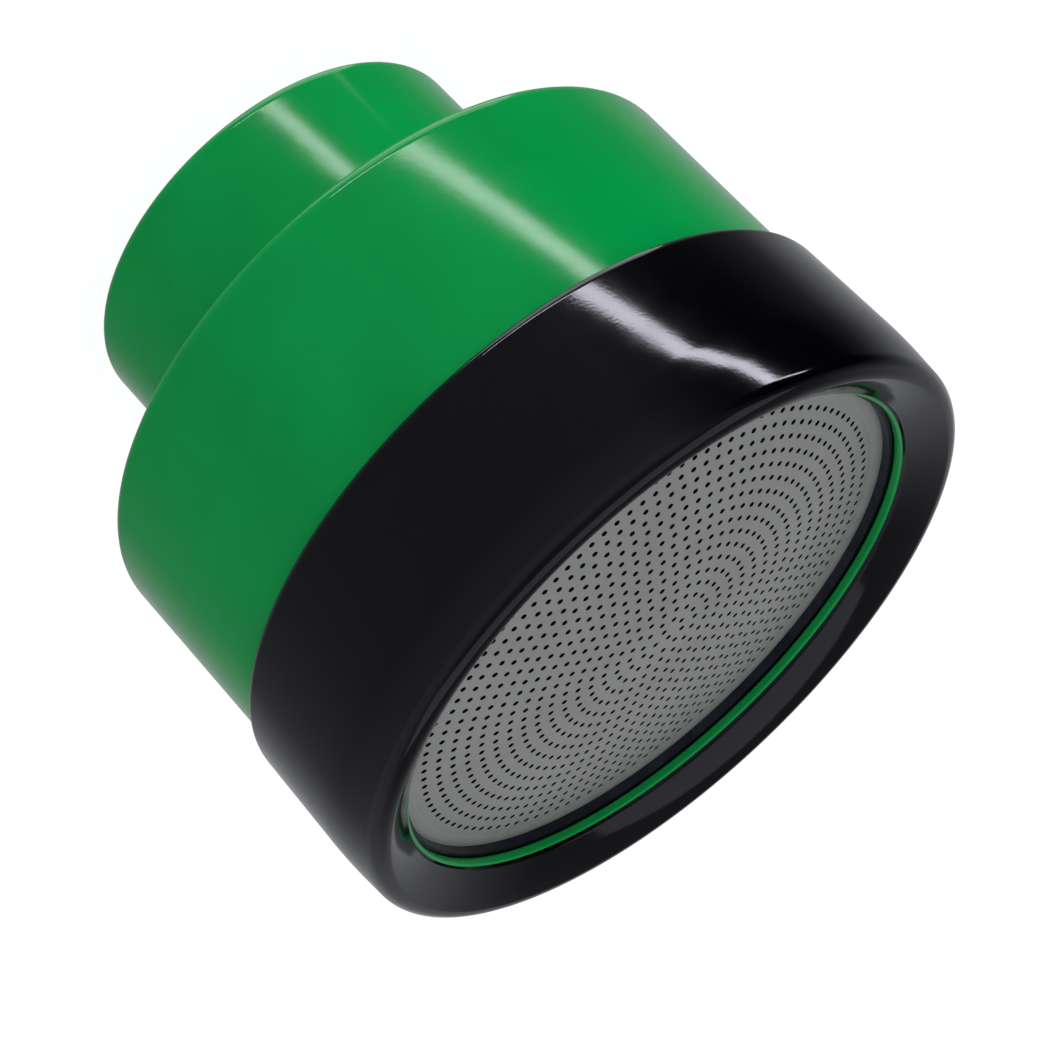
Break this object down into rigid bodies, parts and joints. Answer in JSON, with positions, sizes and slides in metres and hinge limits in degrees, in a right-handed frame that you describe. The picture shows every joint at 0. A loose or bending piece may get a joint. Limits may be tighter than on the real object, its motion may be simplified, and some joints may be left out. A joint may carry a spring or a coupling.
{
  "type": "garden hose water breaker nozzle",
  "caption": "Stepped round plastic shower nozzle for a garden hose, with a rubber bumper around a recessed, finely perforated metal spray plate.",
  "frame": {"origin": "centre of the collar's end face, where the hose enters and on which the nozzle stands", "axes": "+Z along the nozzle's axis, the way the water leaves, up when the nozzle stands on its collar; +X and +Y across the axis, with the retaining ring's gap on -Y"},
  "size_m": [0.059, 0.059, 0.0521],
  "materials": {
    "green_plastic": "glossy moulded green plastic",
    "black_rubber": "semi-gloss black rubber",
    "plate_steel": "matte stainless sheet",
    "ring_steel": "blackened spring steel",
    "gasket_rubber": "matte black rubber",
    "spacer_plastic": "natural white acetal",
    "strainer_steel": "stainless wire"
  },
  "bodies": {
    "nozzle": {"nozzle_body": "green_plastic", "face_plate": "plate_steel", "retaining_ring": "ring_steel", "face_gasket": "gasket_rubber", "front_spacer": "spacer_plastic", "breaker_plate": "plate_steel", "rear_spacer": "spacer_plastic", "jet_baffle": "spacer_plastic"},
    "bumper": {"bumper_ring": "black_rubber"},
    "washer": {"hose_washer": "gasket_rubber", "strainer_rim": "strainer_steel", "strainer_mesh": "strainer_steel"}
  },
  "joints": [
    {"name": "bumper_pull_off", "type": "slide", "parent": "nozzle", "child": "bumper", "axis": [0, 0, 1], "range_m": [0, 0.018]},
    {"name": "washer_pull_out", "type": "slide", "parent": "nozzle", "child": "washer", "axis": [0, 0, -1], "range_m": [0, 0.018]}
  ]
}
